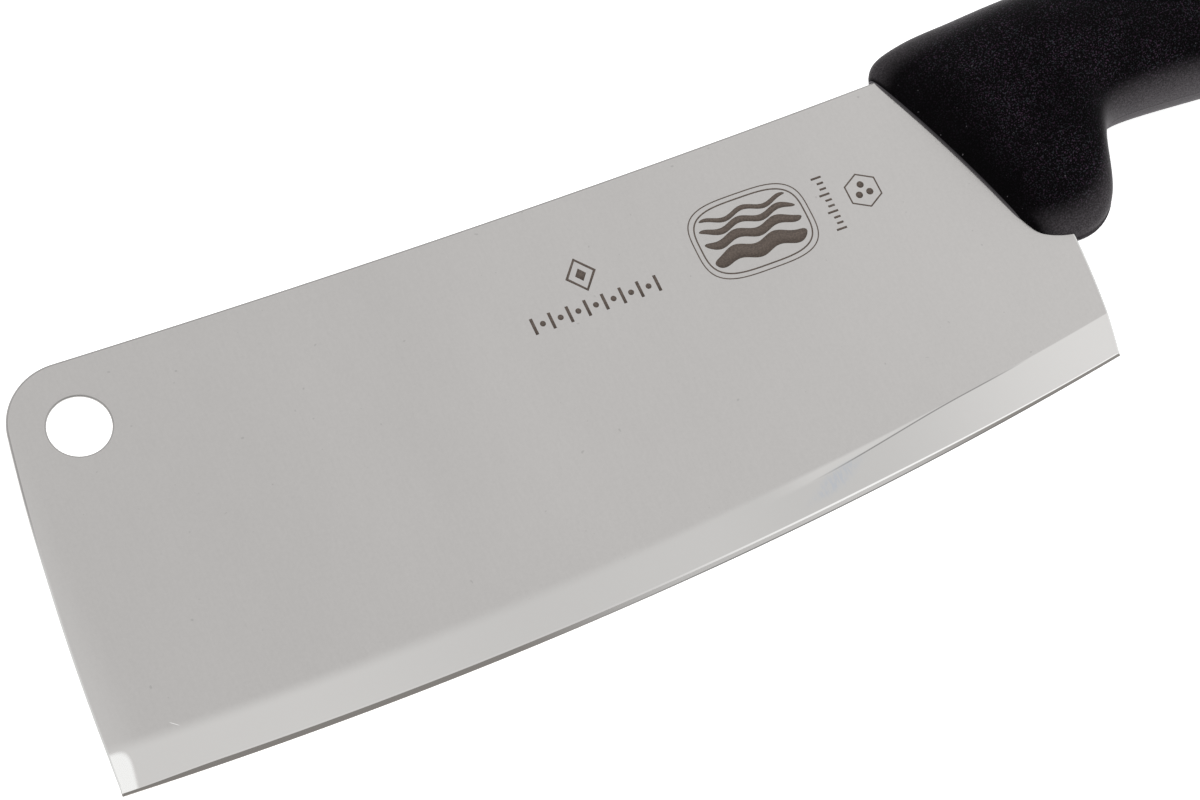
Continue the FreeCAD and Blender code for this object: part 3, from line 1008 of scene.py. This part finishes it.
def satin_steel(finish):
    """Satin stainless: fine grinding lines from spine to edge, a brighter finely ground bevel,
    paler partly as a painted reflection, whose shoulder is soft at the front and crisp at the heel,
    a darker sharpened edge with painted reflection and shade on it, painted highlights on the front
    corner and the rims, and the light scratches and specks of handling."""
    material, n = new_material("satin_steel")
    x, d, share = n.attribute("along"), n.attribute("from_edge"), n.attribute("edge_share")
    place = n.stretched((1.0, 1.0, 1.0))
    lines = n.noise(n.stretched((1.0, 0.05, 1.0)), 3600.0, 0.0, 0.5)
    cloud = n.noise(n.stretched((1.0, 0.35, 1.0)), 38.0, 3.0, 0.5)
    mottle = n.noise(place, 1700.0, 3.0, 0.7)
    tone = n.plus(n.times(cloud, 0.4), n.plus(n.times(lines, 0.12), n.times(mottle, 0.48)))

    softness = n.band(x, 60.0, 150.0, 1.3, 0.14)
    on_bevel = n.band(d, n.minus(SHOULDER, softness), n.plus(SHOULDER, softness), 1.0, 0.0)
    off_line = n.minus(d, n.band(x, 118.0, 152.0, 5.6, 7.05))
    flat = satin_flat(n, finish, x, place, tone)
    colour = n.mix(on_bevel, flat, wide_bevel(n, finish, x, off_line, tone))
    colour = with_grinding_line(n, finish, colour, x, d, off_line, place)
    colour, on_edge = with_sharpened_edge(n, finish, colour, x, share)
    # Painted highlight on the front corner
    colour, corner_highlight = with_corner_highlight(n, finish, colour, x, d, share)
    # Painted highlights on the rims and the hole's wall
    colour, on_rim = with_rim_highlights(n, finish, colour, d)

    smoother = n.larger(on_rim, n.larger(corner_highlight, on_edge))
    rough = n.math("MULTIPLY_ADD", n.minus(lines, 0.5), 0.04, finish.steel_roughness)
    rough = n.math("MULTIPLY_ADD", smoother, -0.13, rough)
    n.surface(Base_Color=colour, Roughness=rough, Metallic=1.0,
              Normal=n.bump(mottle, 0.05, 0.00002))
    return material


def etched_steel(finish):
    """Dark etched steel, a little uneven where the acid bit less."""
    material, n = new_material("etched_steel")
    bite = n.noise(n.stretched((1.0, 1.0, 1.0)), 3200.0, 2.0, 0.6)
    colour = n.mix(n.band(bite, 0.3, 0.75), rgba(finish.etch, 0.8), rgba(finish.etch, 1.5))
    n.surface(Base_Color=colour, Roughness=n.band(bite, 0.2, 0.8, 0.55, 0.8), Metallic=0.35)
    return material


def pebbled_plastic(finish):
    """Matte black plastic: fine pebble grain with painted glints on the pebble tops, dimmed by
    painted shade towards the front, faint cloudiness, pale specks, a painted reflection as a pale
    line at the foot of its front wall, and a painted sheen on the underside, the nose and the butt."""
    material, n = new_material("pebbled_plastic")
    place = n.stretched((1.0, 1.0, 1.0))
    pebble = n.add("ShaderNodeTexVoronoi", feature="SMOOTH_F1",
                   inputs={"Vector": place, "Scale": 2900.0, "Smoothness": 0.5}).outputs["Distance"]
    grain = n.noise(place, 3800.0, 1.0, 0.6)
    hue = n.noise(place, 1700.0, 2.0, 0.6)
    cloud = n.noise(place, 120.0, 3.0, 0.5)
    colour = n.mix(cloud, rgba(finish.plastic, 0.3), rgba(finish.plastic, 1.4))
    # Painted glints on the pebble tops, dimmed as painted shade towards the front, behind the lip
    lit = n.times(n.band(grain, 0.50, 0.74), n.band(cloud, 0.3, 0.7, 0.45, 1.0))
    lit = n.times(lit, n.band(n.attribute("behind_lip"), 0.0, 1.0, 0.12, 1.0))
    pebble_top = n.mix(n.band(hue, 0.42, 0.58), rgba(finish.grain), (0.038, 0.044, 0.052, 1.0))
    colour = n.mix(lit, colour, pebble_top)
    # Painted sheen where the plastic turns away, broken up by the grain
    painted_sheen = n.times(n.attribute("painted_sheen"), n.band(grain, 0.2, 0.8, 0.35, 1.0))
    colour = n.mix(painted_sheen, colour, rgba(finish.rubbed_plastic))
    # Pale specks of dust, and a painted reflection of the blade at the foot of the front wall
    specks = n.band(n.noise(place, 2300.0, 0.0, 0.5), 0.84, 0.9, 0.0, 0.6)
    wall_reflection = n.times(n.attribute("wall_reflection"), 0.8)
    colour = n.mix(n.larger(specks, wall_reflection), colour, rgba(finish.worn_plastic))
    height = n.plus(pebble, n.times(grain, 0.6))
    n.surface(Base_Color=colour, Normal=n.bump(height, 0.45, 0.00005),
              Roughness=n.math("MULTIPLY_ADD", grain, 0.16, finish.plastic_roughness),
              Specular_IOR_Level=finish.plastic_gloss, Sheen_Weight=finish.plastic_bloom,
              Sheen_Roughness=0.4)
    return material


# ---------------------------------------------------------------------------------------------
# Stage
# ---------------------------------------------------------------------------------------------

def make_floor(finish):
    """Plain pale floor on which the handle lies."""
    side = 3.0
    mesh = bpy.data.meshes.new("floor")
    corners = [(-side, -side, 0), (side, -side, 0), (side, side, 0), (-side, side, 0)]
    mesh.from_pydata(corners, [], [(0, 1, 2, 3)])
    floor = new_object("floor", mesh)
    material, n = new_material("pale_floor")
    n.surface(Base_Color=rgba(finish.floor), Roughness=0.9,
              Emission_Color=rgba(finish.floor), Emission_Strength=0.93)
    mesh.materials.append(material)


def make_softbox(name, direction, distance, size, power):
    """Square area light that faces the cleaver from the given direction."""
    light = bpy.data.lights.new(name, "AREA")
    light.size = size
    light.energy = power
    lamp = new_object(name, light)
    lamp.location = Vector(direction).normalized() * distance
    lamp.rotation_euler = (-lamp.location).to_track_quat("-Z", "Y").to_euler()
    lamp.visible_camera = False


def make_surroundings():
    """White studio walls: darker low on the camera's side, brighter towards the handle's end."""
    world = bpy.data.worlds.new("studio")
    bpy.context.scene.world = world
    n = Nodes(world)
    way = n.add("ShaderNodeSeparateXYZ",
                inputs={"Vector": n.add("ShaderNodeTexCoord").outputs["Generated"]})
    depth = n.band(way.outputs["Y"], -0.62, -0.16, 0.50, 0.87)
    side = n.band(way.outputs["X"], 0.28, 0.44, 1.0, 1.23)
    background = n.add("ShaderNodeBackground", inputs={"Color": WHITE,
                                                       "Strength": n.math("MULTIPLY", depth, side)})
    n.add("ShaderNodeOutputWorld", inputs={"Surface": background.outputs[0]})


def make_camera(stage):
    """Camera that aims at one point from the given bearing, elevation and distance, then turns
    about its own axis."""
    data = bpy.data.cameras.new("camera")
    data.lens = stage.lens
    data.sensor_width = 36.0
    data.clip_start = 0.01
    camera = new_object("camera", data)
    elevation, azimuth = math.radians(stage.elevation), math.radians(stage.azimuth)
    back = Vector((math.cos(azimuth) * math.cos(elevation), math.sin(azimuth) * math.cos(elevation),
                   math.sin(elevation)))
    facing = (-back).to_track_quat("-Z", "Y").to_matrix()
    turn = facing @ Matrix.Rotation(math.radians(stage.roll), 3, "Z")
    place = Vector(stage.aim) + back * stage.distance
    camera.matrix_world = Matrix.Translation(place) @ turn.to_4x4()
    bpy.context.scene.camera = camera


class CLEAVER_OT_stage(bpy.types.Operator):
    """Plain floor, soft studio light and the camera"""
    bl_idname = "cleaver.stage"
    bl_label = "Stage"

    def execute(self, context):
        context.scene.view_settings.view_transform = "Standard"
        make_floor(context.scene.cleaver_finish)
        make_surroundings()
        make_softbox("back_softbox", (-0.55, 0.75, 0.5), 1.2, 0.7, 0.5)
        make_camera(context.scene.cleaver_stage)
        return {"FINISHED"}


class CLEAVER_PT_panel(bpy.types.Panel):
    """Lists the cleaver's operators and sizes"""
    bl_idname = "CLEAVER_PT_panel"
    bl_label = "Cleaver"
    bl_space_type = "VIEW_3D"
    bl_region_type = "UI"
    bl_category = "Cleaver"

    def draw(self, context):
        for operator in OPERATORS:
            self.layout.operator(operator.bl_idname)
        for name in SETTINGS:
            box = self.layout.box()
            group = getattr(context.scene, name)
            for key in group.__annotations__:
                box.prop(group, key)


SETTINGS = {"cleaver_blade": BladeSizes, "cleaver_handle": HandleSizes,
            "cleaver_finish": Finishes, "cleaver_stage": StageSettings}
OPERATORS = (CLEAVER_OT_blade, CLEAVER_OT_handle, CLEAVER_OT_etched_marks, CLEAVER_OT_stage)


def register():
    for group in (*SETTINGS.values(), *OPERATORS, CLEAVER_PT_panel):
        bpy.utils.register_class(group)
    for name, group in SETTINGS.items():
        setattr(bpy.types.Scene, name, PointerProperty(type=group))


def unregister():
    for name in SETTINGS:
        delattr(bpy.types.Scene, name)
    for group in reversed((*SETTINGS.values(), *OPERATORS, CLEAVER_PT_panel)):
        bpy.utils.unregister_class(group)


def main():
    register()
    bpy.ops.cleaver.blade()
    bpy.ops.cleaver.handle()
    bpy.ops.cleaver.etched_marks()
    bpy.ops.cleaver.stage()


if __name__ == "__main__":
    main()
